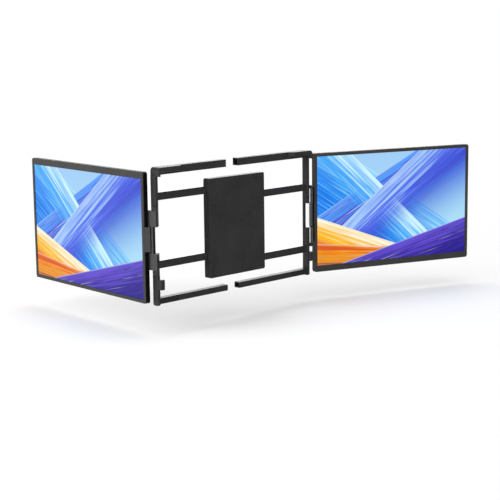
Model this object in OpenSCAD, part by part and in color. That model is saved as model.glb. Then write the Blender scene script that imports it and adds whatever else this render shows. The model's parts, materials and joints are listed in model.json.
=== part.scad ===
// Triple-screen extender for a laptop: a bracket that clamps on the laptop's lid and
// carries a 14-inch portable screen on a two-axis hinge at each side.
// Millimetres, +Z up. The origin is on the lid seat, the plane that the lid's back rests on,
// midway between the posts. -Y faces the user and +X is the user's right.

/* [Bracket] */
// Width over the two posts, as drawn
bracket_w = 342.8; // [330:1:360]
// Height of the bracket
bracket_h = 215; // [205:1:230]
// Depth of the posts and arms, front to back
frame_d = 11.9; // [11.5:0.5:16]
// Thickness of a post across the bracket
post_t = 4.8; // [4.5:0.1:6]
// Radius of the posts' lower ends
post_end_r = 2.5; // [1:0.5:4]
// Height of the top and bottom arms
arm_h = 12; // [10:1:14]
// Clear space between the top arms' ends
arm_gap = 25.5; // [25:0.5:45]
// How far left of the middle the arm gap is centred
arm_gap_shift = 9.8; // [0:0.1:15]
// Depth of the hollow in an arm's inner end
arm_hollow = 40; // [20:1:70]
// Wall round that hollow
arm_wall = 1.6; // [1.2:0.1:2.5]
// Thickness of the rubber pads under the lid
pad_t = 0.8; // [0.5:0.1:1.5]
// Margin of a pad inside the face it is glued to
pad_margin = 1; // [0.5:0.1:1.2]
// Radius of the bracket's outer top corners
corner_r = 6; // [3:0.5:8]

/* [Lid clamp] */
// Depth of the slot for the lid
lid_slot = 4.8; // [4.5:0.1:9]
// Thickness of a corner hook above the lid
hook_top_t = 7.1; // [5:0.1:7.5]
// Thickness of the clamp lips
lip_t = 2.6; // [2:0.1:4]
// Thickness of the clamp walls beside the lid
clamp_wall = 4; // [3:0.1:4.5]
// Width of a corner hook
hook_w = 52; // [40:1:60]
// How far a corner hook's lip reaches down over the lid's frame
hook_reach = 0.8; // [0.5:0.1:4]
// Height of a corner hook's side wall
hook_side_h = 14; // [12:0.5:20]
// Height of a side claw
claw_h = 16; // [10:1:25]
// Height of the side claws' middle below the bracket's middle
claw_drop = 73.6; // [70:0.2:85]
// How far a side claw's lip reaches across
claw_reach = 7.4; // [6:0.2:9]

/* [Centre housing] */
// Half width of the housing
housing_hw = 62; // [55:1:75]
// Half height of the housing
housing_hh = 80; // [72:1:88]
// Wall of the housing
housing_wall = 2; // [1.5:0.1:2.5]
// Radius of the housing's corners
housing_r = 3; // [1:0.5:4]
// Height of a guide bar
bar_h = 12; // [8:1:12]
// Thickness of a guide bar
bar_t = 2; // [1.5:0.1:2.2]
// Distance of the outer guide bars' middle from the housing's edge
bar_outer_z = 18; // [14:0.5:20]
// Distance of the inner guide bars' middle from the housing's edge
bar_inner_z = 36; // [33:0.5:40]
// Length of the guide bars inside the housing
bar_inside = 106; // [90:1:107]
// Depth of the guide bars' sockets in the posts
bar_socket = 3.4; // [2.8:0.1:3.6]
// Running clearance round the guide bars
bar_clear = 0.2; // [0.1:0.05:0.4]
// Thickness of the ribs that the bars slide on
rib_t = 2; // [1:0.2:4]
// Width of a brake pad
brake_w = 10; // [6:1:16]
// Play between a brake pad and its bar
brake_play = 0.05; // [0.02:0.01:0.1]

/* [Kickstand] */
// Width of the leg
leg_w = 48; // [30:1:60]
// Length of the leg from its pin
leg_len = 120; // [90:1:130]
// Thickness of the leg
leg_t = 3; // [2.5:0.1:3.2]
// Radius of the leg's end corners
leg_end_r = 5; // [2:0.5:8]
// Radius of the leg's hinge barrel
leg_barrel_r = 2.2; // [2:0.05:2.3]
// Radius of the leg's pin
leg_pin_r = 1; // [0.8:0.1:1.2]
// Height of the leg's pin above the housing's lower edge
leg_pin_up = 6.5; // [6:0.1:7.5]
// Length of the pin in each side boss
leg_pin_end = 5; // [3:0.5:7]
// Length of a side boss along the pin
leg_boss_len = 8; // [7.5:0.5:10]
// Clearance round the leg in its pocket
leg_clear = 0.3; // [0.2:0.05:0.5]
// Wall round the leg's pocket
pocket_wall = 1.2; // [0.8:0.1:1.3]
// Length of the rubber foot at the leg's end
foot_len = 8; // [6:0.5:14]
// Width of the finger notch beyond the foot
notch_w = 22; // [16:1:26]
// Length of the finger notch
notch_len = 9; // [6:0.5:12]

/* [Hinges] */
// Height of the hinge link
link_h = 93; // [80:1:100]
// Thickness of the hinge link
link_t = 4.7; // [4.4:0.1:5.4]
// Distance between the link's two pins
link_len = 15.7; // [15.4:0.1:20]
// Gap between a post's outer face and the link folded along it
link_gap = 0.25; // [0.2:0.05:1]
// Distance of the post pins in front of the lid seat
post_pin_front = 1.9; // [1.5:0.1:3]
// Height of the open middle of the link
window_h = 41.4; // [30:1:50]
// Height of that window's middle above the link's middle
window_rise = 0.9; // [0:0.1:2]
// Width of the link's spine
link_spine = 3.6; // [3:0.1:4]
// Radius of the link's square corners
link_end_r = 1.2; // [0.8:0.1:2]
// Height of the hinges' middle below the bracket's middle
hinge_drop = 5; // [0:0.5:8]
// Thickness of the post's web behind the window
post_web = 3.3; // [2.5:0.1:4]
// Radius of the hinge pins
pin_r = 1.5; // [1.2:0.1:1.7]
// Radial clearance of a turning pin
pin_clear = 0.05; // [0.02:0.01:0.09]
// Depth of the post pins in the link's ends
post_pin_depth = 12; // [8:1:13]
// Depth of the screen pin in each block of the link
screen_pin_hold = 8; // [6:1:12]
// Height of the ears that hold the post pins
ear_h = 5.7; // [4:0.1:8]
// How far back an ear runs on its post
ear_reach = 4; // [3:0.1:4.5]
// Gap between an ear and the link
turn_gap = 0.3; // [0.2:0.05:0.5]
// Thickness of a hinge washer
washer_t = 1.2; // [0.8:0.1:1.6]
// Running play beside a hinge washer
washer_play = 0.1; // [0.05:0.01:0.2]
// Ring of the washers inside the link's round ends
washer_inset = 0.15; // [0.1:0.05:0.3]

/* [Screens] */
// Width of the picture area
active_w = 301.6; // [290:0.2:320]
// Height of the picture area
active_h = 188.5; // [180:0.5:200]
// Width of the narrow frame at the sides
side_bezel = 5.8; // [5:0.1:8]
// Height of the narrow frame at one long edge
thin_bezel = 5.6; // [5:0.1:8]
// Height of the wide frame at the other long edge
wide_bezel = 10.8; // [8:0.1:16]
// Thickness of a screen
panel_t = 9; // [8.8:0.1:12]
// Radius of a screen's corners
panel_corner_r = 4; // [2.5:0.5:6]
// Thickness of the front frame
bezel_t = 1.2; // [1:0.1:1.6]
// Wall of the back shell at its edges
shell_wall = 1.8; // [1.5:0.1:2.2]
// Back wall of the back shell
shell_back = 1.2; // [1:0.1:1.4]
// Thickness of the glass and liquid crystal sheet
lcd_t = 1.4; // [1:0.1:1.6]
// Thickness of the backlight
backlight_t = 1.4; // [1:0.1:1.8]
// Margin of the glass round the picture area
lcd_margin = 2; // [1:0.1:2.5]
// Height of the screens' middle below the bracket's middle
panel_drop = 2.5; // [0:0.5:5]
// Distance from a screen's edge to its hinge pin
screen_pin_out = 3.6; // [3.5:0.1:4.5]
// Depth of that pin behind the screen's front
screen_pin_deep = 8.5; // [8.4:0.1:9]
// Step from the screen's face back to the hinge knuckle
knuckle_step = 0.4; // [0.2:0.1:1]
// Length of the hinge leaf inside the back shell
leaf_len = 34; // [31:1:45]
// Thickness of the hinge leaf
leaf_t = 1.5; // [1.2:0.1:2]
// Play round the hinge leaf and the sockets in the shell's windows
window_play = 0.15; // [0.1:0.05:0.2]

/* [Pose as drawn] */
// Angle of the right link from straight out
right_link_angle = 51.8; // [0:0.1:90]
// Angle of the left link from straight out
left_link_angle = 90; // [0:0.1:90]
// Turn of the right screen out of the bracket's plane, negative towards the user
right_turn = -19.4; // [-28:0.1:71]
// Turn of the left screen out of the bracket's plane, positive away from the user
left_turn = 93.7; // [10:0.1:110]

/* [Ports and buttons] */
// Length of a USB-C socket's shell
usb_len = 8.8; // [7:0.1:9]
// Width of a USB-C socket's shell
usb_w = 8.94; // [8.9:0.02:9]
// Height of a USB-C socket's shell
usb_h = 3.26; // [3.1:0.02:3.3]
// Wall of a USB-C socket's shell
usb_wall = 0.3; // [0.2:0.05:0.35]
// Thickness of the tongue in a USB-C socket
usb_tongue_t = 0.7; // [0.6:0.05:0.8]
// How far the sockets' mouths lie inside the screen's edge
usb_inset = 0.2; // [0.1:0.05:0.5]
// Distance of the first socket below the screen's middle
usb_drop = 30; // [20:1:40]
// Distance between the two sockets
usb_pitch = 18; // [14:1:24]
// Height of the power button's middle above the screen's middle
power_z = 16; // [12:1:30]
// Length of the power button
power_len = 8; // [6:0.5:12]
// Length of the menu rocker
menu_len = 16; // [12:0.5:20]
// Distance from the power button to the menu rocker
button_pitch = 22; // [20:0.5:30]
// Height of both buttons across the edge
button_h = 2.6; // [2:0.1:2.8]
// How far a button stands out
button_out = 0.6; // [0.5:0.1:0.8]
// Travel of a button
button_travel = 0.4; // [0.3:0.05:0.45]
// Clearance round a button
button_clear = 0.12; // [0.08:0.02:0.2]
// Thickness of a button's flange inside the wall
flange_t = 1; // [0.8:0.1:1.2]
// How far the flange runs past the button's ends
flange_over = 0.8; // [0.5:0.1:1.2]
// Play between the parts of a button that touch at rest
button_play = 0.03; // [0.02:0.01:0.05]
// Width of a button's switch
switch_w = 6; // [4:0.5:7]
// How far a switch sits in the board's notch
switch_seat = 2; // [1:0.5:3]

/* [Driver board] */
// Thickness of the board
board_t = 1; // [0.8:0.1:1.2]
// Width of the board
board_w = 42; // [30:1:60]
// Gap between the backlight and the board
board_gap = 0.1; // [0.05:0.05:0.2]
// Margin of the board past the last socket and button
board_margin = 6; // [4:1:10]
// Radius of the bosses that carry the board
boss_r = 2.2; // [1.5:0.1:3]
// Distance of the bosses from the board's edges
boss_in = 4; // [3.5:0.5:6]

/* [Screws] */
// Radius of a screw's thread
screw_r = 1.1; // [0.9:0.05:1.2]
// Radius of a screw's head
screw_head_r = 2; // [1.8:0.1:2.2]
// Thickness of a screw's head
screw_head_t = 1; // [0.8:0.1:1.2]
// Clearance round a screw
screw_clear = 0.1; // [0.05:0.01:0.15]
// Distance of the housing's screws from its sides
housing_screw_in = 4.4; // [4:0.1:5]
// How far the housing's screw bosses run into the walls beside them
boss_merge = 0.5; // [0.3:0.1:1]
// Distance from a leaf's ends to its screws
leaf_screw_in = 6; // [4:0.5:8]
// Radius of the screws that hold the guide bars
bar_screw_r = 0.8; // [0.6:0.05:0.9]
// Radius of those screws' heads
bar_screw_head_r = 1.5; // [1.3:0.1:1.6]
// Distance of those screws from the post's inner face
bar_screw_in = 2; // [1.8:0.1:2.2]

/* [Hidden] */
$fn = 48;
LEFT = -1;
RIGHT = 1;
past = 1;             // how far a cut runs past the face it opens
weld = 0.01;          // overlap that makes two shapes of one piece into one solid

// Bracket
half_w = bracket_w / 2;
half_h = bracket_h / 2;
post_in = half_w - post_t;
frame_y0 = pad_t;
frame_y1 = frame_y0 + frame_d;
arm_bottom = half_h - arm_h;
hook_x0 = half_w - hook_w;
lid_top = half_h - hook_top_t;
lip_y0 = -lid_slot - lip_t;
lip_slant = frame_y0 - lip_y0;                   // a hook's inner end slants at 45 degrees

// Housing
split_y = frame_y0 + frame_d / 2;                // where the housing's covers meet
bar_y0 = split_y - bar_t / 2;
bar_y1 = split_y + bar_t / 2;
brake_x0 = housing_hw - housing_wall - brake_w;
housing_boss_r = housing_screw_in - housing_wall + boss_merge;

// Kickstand, folded up in the housing's back
leg_pin_y = frame_y1 - leg_barrel_r;
leg_pin_z = -housing_hh + leg_pin_up;
leg_y0 = frame_y1 - leg_t;
leg_tip_z = leg_pin_z + leg_len;

// Hinges
link_r = link_t / 2;
post_pin_x = half_w + link_gap + link_r;
post_pin_y = -post_pin_front;
link_top = -hinge_drop + link_h / 2;
link_bottom = -hinge_drop - link_h / 2;
window_mid = -hinge_drop + window_rise;
window_top = window_mid + window_h / 2;
window_bottom = window_mid - window_h / 2;
knuckle_h = window_h - 2 * (washer_t + washer_play);
nose_steps = 16;                                 // flats round a knuckle's nose
ear_z = [link_top + turn_gap, link_bottom - turn_gap - ear_h];

// Screens, in their own frame: x from the hinge edge outwards, y back from the front face,
// z from the screen's middle towards its narrow long edge
panel_w = active_w + 2 * side_bezel;
panel_h = active_h + thin_bezel + wide_bezel;
active_z0 = -panel_h / 2 + wide_bezel;
backlight_y0 = bezel_t + lcd_t;
backlight_y1 = backlight_y0 + backlight_t;
shell_in_y = panel_t - shell_back;
board_y0 = backlight_y1 + board_gap;
board_x1 = panel_w - usb_inset - usb_len;
usb_z = [-usb_drop, -usb_drop - usb_pitch];
usb_y = shell_in_y - usb_h / 2;
menu_z = power_z + button_pitch;
board_z0 = usb_z[1] - usb_w / 2 - board_margin;
board_z1 = menu_z + switch_w / 2 + board_margin;
button_y = (board_y0 + shell_in_y) / 2;
button_x0 = panel_w - shell_wall - flange_t;
switch_x1 = button_x0 - button_travel - button_play;

// ---- placing ----

function link_angle(side) = side == LEFT ? left_link_angle : right_link_angle;
function bar_z(side) = [side * (bar_outer_z - housing_hh), side * (housing_hh - bar_inner_z)];
function screen_pin_at(side) = [
  side * (post_pin_x + link_len * cos(link_angle(side))),
  post_pin_y + link_len * sin(link_angle(side)),
  -panel_drop];

// The left side of the bracket is the right side's mirror image
module bracket_side(side) { mirror([side == LEFT ? 1 : 0, 0, 0]) children(); }

// From a link's own frame, x from the post pin to the screen pin, to the pose as drawn
module link_place(side) {
  bracket_side(side) translate([post_pin_x, post_pin_y, 0]) rotate([0, 0, link_angle(side)])
    children();
}

// From a screen's own frame to the pose as drawn; the left screen hangs the other way up
module screen_place(side) {
  translate(screen_pin_at(side))
    rotate(side == LEFT ? [180, 0, 180 - left_turn] : [0, 0, right_turn])
      translate([screen_pin_out, -screen_pin_deep, 0])
        children();
}

// Height of the hinge window's middle in a screen's own frame
function leaf_z(side) = side * (window_mid + panel_drop);

// ---- shapes ----

module box(lo, hi) { translate(lo) cube(hi - lo); }

// A plate that faces front and back, with round corners
module round_plate(x0, x1, z0, z1, y0, y1, r) {
  translate([0, y1, 0]) rotate([90, 0, 0]) linear_extrude(y1 - y0) {
    translate([x0 + r, z0]) square([x1 - x0 - 2 * r, z1 - z0]);
    translate([x0, z0 + r]) square([x1 - x0, z1 - z0 - 2 * r]);
    for (x = [x0 + r, x1 - r], z = [z0 + r, z1 - r]) translate([x, z]) circle(r);
  }
}

module rod_y(r, y0, y1) { translate([0, y0, 0]) rotate([-90, 0, 0]) cylinder(r = r, h = y1 - y0); }

module rod_x(r, x0, x1) { translate([x0, 0, 0]) rotate([0, 90, 0]) cylinder(r = r, h = x1 - x0); }

// A pan head screw driven forward from the back: outer end of the head, and tip
module screw_from_back(y_head, y_tip, r, head_r) {
  rod_y(head_r, y_head - screw_head_t, y_head);
  rod_y(r, y_tip, y_head);
}

// ---- centre housing ----

module housing_block(y0, y1) {
  round_plate(-housing_hw, housing_hw, -housing_hh, housing_hh, y0, y1, housing_r);
}

module housing_hollow(y0, y1) {
  box([-housing_hw + housing_wall, y0, -housing_hh + housing_wall],
      [housing_hw - housing_wall, y1, housing_hh - housing_wall]);
}

module housing_screw_spots() {
  x = housing_hw - housing_screw_in;
  z = housing_hh - housing_screw_in;
  for (sx = [-1, 1], sz = [-1, 1]) translate([sx * x, 0, sz * z]) children();
}

// Slots in the side walls for the guide bars
module bar_slots() {
  for (side = [LEFT, RIGHT], z = bar_z(side)) bracket_side(side)
    box([housing_hw - housing_wall - past, bar_y0 - bar_clear, z - bar_h / 2 - bar_clear],
        [housing_hw + past, bar_y1 + bar_clear, z + bar_h / 2 + bar_clear]);
}

module housing_front_cover() {
  color("#2a2a2c") difference() {
    union() {
      difference() {
        housing_block(0, split_y);
        housing_hollow(housing_wall, split_y + past);
      }
      housing_screw_spots() rod_y(housing_boss_r, housing_wall - weld, split_y);
      for (side = [LEFT, RIGHT], z = bar_z(side))
        box([-brake_x0 + past, housing_wall - weld, z - rib_t / 2],
            [brake_x0 - past, bar_y0 - bar_clear, z + rib_t / 2]);
    }
    bar_slots();
    housing_screw_spots() rod_y(screw_r, housing_wall, split_y + past);
  }
}

// The pocket that the folded leg lies in, or that pocket grown by a wall
module leg_pocket(wall) {
  reach = leg_clear + wall;
  box([-leg_w / 2 - reach, leg_y0 - reach, -housing_hh - past],
      [leg_w / 2 + reach, frame_y1 + past, leg_tip_z + reach]);
  box([-notch_w / 2 - wall, leg_y0 - reach, leg_tip_z],
      [notch_w / 2 + wall, frame_y1 + past, leg_tip_z + notch_len + wall]);
  translate([0, leg_pin_y, leg_pin_z])
    rod_x(leg_barrel_r + reach, -leg_w / 2 - reach, leg_w / 2 + reach);
}

module leg_pin_rod(r, reach) {
  translate([0, leg_pin_y, leg_pin_z]) rod_x(r, -leg_w / 2 - reach, leg_w / 2 + reach);
}

module housing_back_cover() {
  color("#2a2a2c") difference() {
    union() {
      difference() {
        housing_block(split_y, frame_y1);
        difference() {
          housing_hollow(split_y - past, frame_y1 - housing_wall);
          leg_pocket(pocket_wall);
        }
      }
      // bosses for the leg's pin
      for (side = [LEFT, RIGHT]) bracket_side(side)
        box([leg_w / 2, leg_y0 - leg_clear - pocket_wall, -housing_hh + housing_wall - weld],
            [leg_w / 2 + leg_boss_len, frame_y1, leg_pin_z + leg_pin_up - housing_wall]);
      housing_screw_spots() rod_y(housing_boss_r, split_y, frame_y1 - housing_wall + weld);
    }
    leg_pocket(0);
    bar_slots();
    leg_pin_rod(leg_pin_r, leg_pin_end);
    housing_screw_spots() {
      rod_y(screw_r + screw_clear, split_y - past, frame_y1 + past);
      rod_y(screw_head_r + screw_clear, frame_y1 - screw_head_t - screw_clear, frame_y1 + past);
    }
  }
}

module housing_screws() {
  color("silver") housing_screw_spots()
    screw_from_back(frame_y1 - screw_clear, housing_wall, screw_r, screw_head_r);
}

// Felt pads in the front cover rub on the bars and hold the bracket's width
module bar_brake_pads() {
  color("darkslategray") for (side = [LEFT, RIGHT], z = bar_z(side)) bracket_side(side)
    box([brake_x0, housing_wall, z - bar_h / 2], [brake_x0 + brake_w, bar_y0 - brake_play, z + bar_h / 2]);
}

// ---- kickstand ----

module leg_plate() {
  round_plate(-leg_w / 2, leg_w / 2, leg_pin_z, leg_tip_z, leg_y0, frame_y1, leg_end_r);
  box([-leg_w / 2, leg_y0, leg_pin_z], [leg_w / 2, frame_y1, leg_pin_z + leg_len / 2]);
}

module leg_end() {
  box([-leg_w, leg_y0 - past, leg_tip_z - foot_len], [leg_w, frame_y1 + past, leg_tip_z + past]);
}

module kickstand_leg() {
  color("#3a3a3c") difference() {
    union() {
      leg_plate();
      leg_pin_rod(leg_barrel_r, 0);
    }
    leg_end();
    leg_pin_rod(leg_pin_r + pin_clear, past);
  }
}

module kickstand_foot() {
  color("black") intersection() {
    leg_plate();
    leg_end();
  }
}

module kickstand_pin() { color("silver") leg_pin_rod(leg_pin_r, leg_pin_end); }

// ---- side frames, drawn for the right side ----

// A post's ear seen from above, with its round end about the post pin
module ear_plan() {
  translate([post_pin_x, post_pin_y]) circle(link_r);
  translate([post_pin_x - link_r, post_pin_y]) square([link_t, frame_y0 + ear_reach - post_pin_y]);
  translate([post_in, frame_y0]) square([post_pin_x + link_r - post_in, ear_reach]);
}

// A post seen from the side, its lower end rounded front and back
module post_side() {
  translate([frame_y0, -half_h + post_end_r]) square([frame_d, bracket_h - arm_h - post_end_r]);
  translate([frame_y0 + post_end_r, -half_h]) square([frame_d - 2 * post_end_r, arm_h]);
  for (y = [frame_y0 + post_end_r, frame_y1 - post_end_r])
    translate([y, -half_h + post_end_r]) circle(post_end_r);
}

// The claw that reaches round the lid's side edge
module side_claw() {
  z0 = -claw_drop - claw_h / 2;
  box([half_w - clamp_wall, lip_y0, z0], [half_w, frame_y0 + weld, z0 + claw_h]);
  box([half_w - claw_reach, lip_y0, z0], [half_w, lip_y0 + lip_t, z0 + claw_h]);
}

module post(side) {
  color("#2b2b2d") bracket_side(side) difference() {
    union() {
      translate([post_in, 0, 0]) rotate([90, 0, 90]) linear_extrude(post_t) post_side();
      for (z = ear_z) translate([0, 0, z]) linear_extrude(ear_h) ear_plan();
      side_claw();
    }
    box([post_in - past, frame_y0 - past, window_bottom],
        [half_w + past, frame_y1 - post_web, window_top]);
    translate([post_pin_x, post_pin_y, ear_z[1] - past])
      cylinder(r = pin_r, h = ear_z[0] + ear_h + past - (ear_z[1] - past));
    for (z = bar_z(side)) {
      box([post_in - past, bar_y0, z - bar_h / 2], [post_in + bar_socket, bar_y1, z + bar_h / 2]);
      translate([post_in + bar_screw_in, 0, z]) {
        rod_y(bar_screw_r + screw_clear, split_y, frame_y1 + past);
        rod_y(bar_screw_head_r + screw_clear, frame_y1 - screw_head_t - screw_clear, frame_y1 + past);
      }
    }
  }
}

// A hook seen from the front, down to z0, its outer top corner round
module hook_slab(x0, z0, y0, y1) {
  translate([0, y1, 0]) rotate([90, 0, 0]) linear_extrude(y1 - y0) {
    translate([x0, z0]) square([half_w - corner_r - x0, half_h - z0]);
    translate([half_w - corner_r - weld, z0]) square([corner_r + weld, half_h - corner_r - z0]);
    translate([half_w - corner_r, half_h - corner_r]) circle(corner_r);
  }
}

module corner_hook(side) {
  color("#303032") bracket_side(side) difference() {
    union() {
      hook_slab(hook_x0, arm_bottom, frame_y0, frame_y1);
      difference() {
        hook_slab(hook_x0, half_h - hook_side_h, lip_y0, frame_y0 + weld);
        // room for the lid, under the top wall and inside the side wall
        box([hook_x0 - past, lip_y0 + lip_t, half_h - hook_side_h - past],
            [half_w - clamp_wall, frame_y0, lid_top]);
        // the lip hangs down only a little
        box([hook_x0 - past, lip_y0 - past, half_h - hook_side_h - past],
            [half_w - clamp_wall, lip_y0 + lip_t + past, lid_top - hook_reach]);
        // below the arm only the side wall is left, in front of the post
        box([hook_x0 - past, lip_y0 - past, half_h - hook_side_h - past],
            [half_w - clamp_wall, frame_y0 + past, arm_bottom]);
        box([half_w - clamp_wall - past, frame_y0, half_h - hook_side_h - past],
            [half_w + past, frame_y0 + past, arm_bottom]);
      }
    }
    translate([0, 0, arm_bottom - past]) linear_extrude(arm_h + 2 * past)
      polygon([[hook_x0 - past, lip_y0 - past], [hook_x0 + lip_slant + past, lip_y0 - past],
               [hook_x0 - past, frame_y0 + past]]);
  }
}

function arm_end(side) = arm_gap / 2 - side * arm_gap_shift;   // distance from the middle

// An arm out to x1, hollow from its inner end
module arm(side, x1, z0, z1) {
  x0 = arm_end(side);
  color("#2b2b2d") bracket_side(side) difference() {
    box([x0, frame_y0, z0], [x1, frame_y1, z1]);
    box([x0 - past, frame_y0 + arm_wall, z0 + arm_wall],
        [x0 + arm_hollow, frame_y1 - arm_wall, z1 - arm_wall]);
  }
}

module top_arm(side) { arm(side, hook_x0, arm_bottom, half_h); }

module bottom_arm(side) { arm(side, post_in, -half_h + post_end_r, -half_h + arm_h); }

module guide_bars(side) {
  color("silver") bracket_side(side) for (z = bar_z(side)) difference() {
    box([housing_hw - bar_inside, bar_y0, z - bar_h / 2], [post_in + bar_socket, bar_y1, z + bar_h / 2]);
    translate([post_in + bar_screw_in, 0, z]) rod_y(bar_screw_r, bar_y0 - past, bar_y1 + past);
  }
}

// Screws from the post's back into the guide bars' ends
module bar_screws(side) {
  color("silver") bracket_side(side) for (z = bar_z(side)) translate([post_in + bar_screw_in, 0, z])
    screw_from_back(frame_y1 - screw_clear, bar_y0, bar_screw_r, bar_screw_head_r);
}

// Pads behind the lid's corners
module grip_pads(side) {
  x0 = hook_x0 + lip_slant;
  x1 = post_in - pad_margin;
  color("black") bracket_side(side) {
    box([x0, 0, arm_bottom + pad_margin], [x1, frame_y0, lid_top - pad_margin]);
    box([x0, 0, -half_h + post_end_r + pad_margin], [x1, frame_y0, -half_h + arm_h - pad_margin]);
  }
}

// Short pins, fast in the ears, that the link turns on
module post_pins(side) {
  color("silver") bracket_side(side) translate([post_pin_x, post_pin_y, 0]) {
    translate([0, 0, link_top - post_pin_depth]) cylinder(r = pin_r, h = ear_z[0] + ear_h - link_top + post_pin_depth);
    translate([0, 0, ear_z[1]]) cylinder(r = pin_r, h = link_bottom + post_pin_depth - ear_z[1]);
  }
}

// ---- hinge link, in its own frame ----

// The link from above: square with small corner rounds, but round about the post pin on the
// inner side, which turns past the post
module link_plan() {
  x1 = link_len + link_r;
  in = link_r - link_end_r;       // from a pin's middle to the corner rounds' middles
  circle(link_r);
  translate([0, -link_r]) square([link_len + in, link_t]);
  translate([0, -in]) square([x1, 2 * in]);
  translate([-in, -link_r]) square([link_r, link_r]);
  translate([-link_r, -in]) square([link_r, in]);
  for (spot = [[link_len + in, -in], [link_len + in, in], [-in, -in]]) translate(spot) circle(link_end_r);
}

// Two blocks joined by a spine, with the window between them
module hinge_link(side) {
  spine_x0 = (link_len - link_spine) / 2;
  color("#38383a") link_place(side) difference() {
    translate([0, 0, link_bottom]) linear_extrude(link_h) link_plan();
    for (x = [-link_r - past, spine_x0 + link_spine])
      box([x, -link_r - past, window_bottom], [x + spine_x0 + link_r + past, link_r + past, window_top]);
    // bores for the post pins, a little deeper than the pins
    translate([0, 0, link_top - post_pin_depth - turn_gap])
      cylinder(r = pin_r + pin_clear, h = post_pin_depth + turn_gap + past);
    translate([0, 0, link_bottom - past])
      cylinder(r = pin_r + pin_clear, h = post_pin_depth + turn_gap + past);
    screen_pin_rod();
  }
}

module screen_pin_rod() {
  translate([link_len, 0, window_bottom - screen_pin_hold])
    cylinder(r = pin_r, h = window_h + 2 * screen_pin_hold);
}

module screen_pin(side) { color("silver") link_place(side) screen_pin_rod(); }

// Washers between the link's blocks and the screen's knuckle
module hinge_washers(side) {
  color("#202022") link_place(side)
    for (z = [window_top - washer_t, window_bottom]) translate([link_len, 0, z]) difference() {
      cylinder(r = link_r - washer_inset, h = washer_t);
      translate([0, 0, -past]) cylinder(r = pin_r + pin_clear, h = washer_t + 2 * past);
    }
}

// ---- screens, in their own frame ----

module panel_slab(y0, y1, inset) {
  round_plate(inset, panel_w - inset, -panel_h / 2 + inset, panel_h / 2 - inset, y0, y1,
              panel_corner_r - inset);
}

function leaf_screw_x() = [shell_wall + leaf_screw_in, leaf_len - leaf_screw_in];
function leaf_screw_z(side) = [for (s = [-1, 1]) leaf_z(side) + s * (knuckle_h / 2 - leaf_screw_in)];

module back_shell(side) {
  knuckle_room = knuckle_h / 2 + window_play;
  color("#2b2b2d") screen_place(side) difference() {
    union() {
      difference() {
        panel_slab(bezel_t, panel_t, 0);
        panel_slab(bezel_t - past, shell_in_y, shell_wall);
      }
      for (x = [board_x1 - board_w + boss_in, board_x1 - boss_in],
           z = [board_z0 + boss_in, board_z1 - boss_in])
        translate([x, 0, z]) rod_y(boss_r, board_y0 + board_t, shell_in_y + weld);
    }
    // window for the hinge knuckle
    box([-past, bezel_t - past, leaf_z(side) - knuckle_room],
        [shell_wall + window_play, panel_t + past, leaf_z(side) + knuckle_room]);
    for (z = usb_z) usb_shape(z, panel_w - shell_wall - past, panel_w + past, window_play);
    button_window(power_z, power_len);
    button_window(menu_z, menu_len);
    for (x = leaf_screw_x(), z = leaf_screw_z(side)) translate([x, 0, z])
      rod_y(screw_r + screw_clear, shell_in_y - past, panel_t + past);
  }
}

module front_frame(side) {
  color("#1c1c1e") screen_place(side) difference() {
    panel_slab(0, bezel_t, 0);
    box([side_bezel, -past, active_z0], [side_bezel + active_w, bezel_t + past, active_z0 + active_h]);
  }
}

module picture_sheet(y0, y1) {
  box([side_bezel - lcd_margin, y0, active_z0 - lcd_margin],
      [side_bezel + active_w + lcd_margin, y1, active_z0 + active_h + lcd_margin]);
}

module lcd_glass(side) { color("#5f7fd0") screen_place(side) picture_sheet(bezel_t, backlight_y0); }

module backlight(side) {
  color("whitesmoke") screen_place(side) picture_sheet(backlight_y0, backlight_y1);
}

module driver_board(side) {
  color("darkgreen") screen_place(side) difference() {
    box([board_x1 - board_w, board_y0, board_z0], [board_x1, board_y0 + board_t, board_z1]);
    for (z = [power_z, menu_z])
      box([board_x1 - switch_seat, board_y0 - past, z - switch_w / 2],
          [board_x1 + past, board_y0 + board_t + past, z + switch_w / 2]);
  }
}

// The round-ended outline of a socket's shell, grown by a clearance, from x0 to x1
module usb_shape(z, x0, x1, grow) {
  r = usb_h / 2 + grow;
  straight = usb_w - usb_h;
  translate([x0, usb_y, z]) rotate([90, 0, 90]) linear_extrude(x1 - x0) {
    for (v = [-straight / 2, straight / 2]) translate([0, v]) circle(r);
    translate([-r, -straight / 2]) square([2 * r, straight]);
  }
}

module usb_sockets(side) {
  x1 = board_x1 + usb_len;
  back_wall = 3 * usb_wall;
  color("silver") screen_place(side) for (z = usb_z) {
    difference() {
      usb_shape(z, board_x1, x1, 0);
      usb_shape(z, board_x1 + back_wall, x1 + past, -usb_wall);
    }
    box([board_x1 + back_wall - weld, usb_y - usb_tongue_t / 2, z - (usb_w - usb_h) / 2],
        [x1 - 4 * usb_wall, usb_y + usb_tongue_t / 2, z + (usb_w - usb_h) / 2]);
  }
}

// ---- buttons, in a screen's own frame ----

module button_window(z, len) {
  box([panel_w - shell_wall - past, button_y - button_h / 2 - button_clear, z - len / 2 - button_clear],
      [panel_w + past, button_y + button_h / 2 + button_clear, z + len / 2 + button_clear]);
}

// A button with the flange that keeps it behind the wall
module button(side, z, len) {
  y0 = button_y - button_h / 2;
  half = len / 2;
  color("#38383a") screen_place(side) {
    box([button_x0, y0, z - half], [panel_w + button_out, y0 + button_h, z + half]);
    box([button_x0, y0, z - half - flange_over],
        [panel_w - shell_wall - button_play, y0 + button_h, z + half + flange_over]);
  }
}

module power_button(side) { button(side, power_z, power_len); }

module menu_rocker(side) { button(side, menu_z, menu_len); }

module button_switches(side) {
  color("black") screen_place(side) for (z = [power_z, menu_z])
    box([board_x1 - switch_seat, board_y0, z - switch_w / 2], [switch_x1, shell_in_y, z + switch_w / 2]);
}

// ---- hinge leaf: a knuckle on the screen's edge with a leaf inside the shell ----

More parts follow.
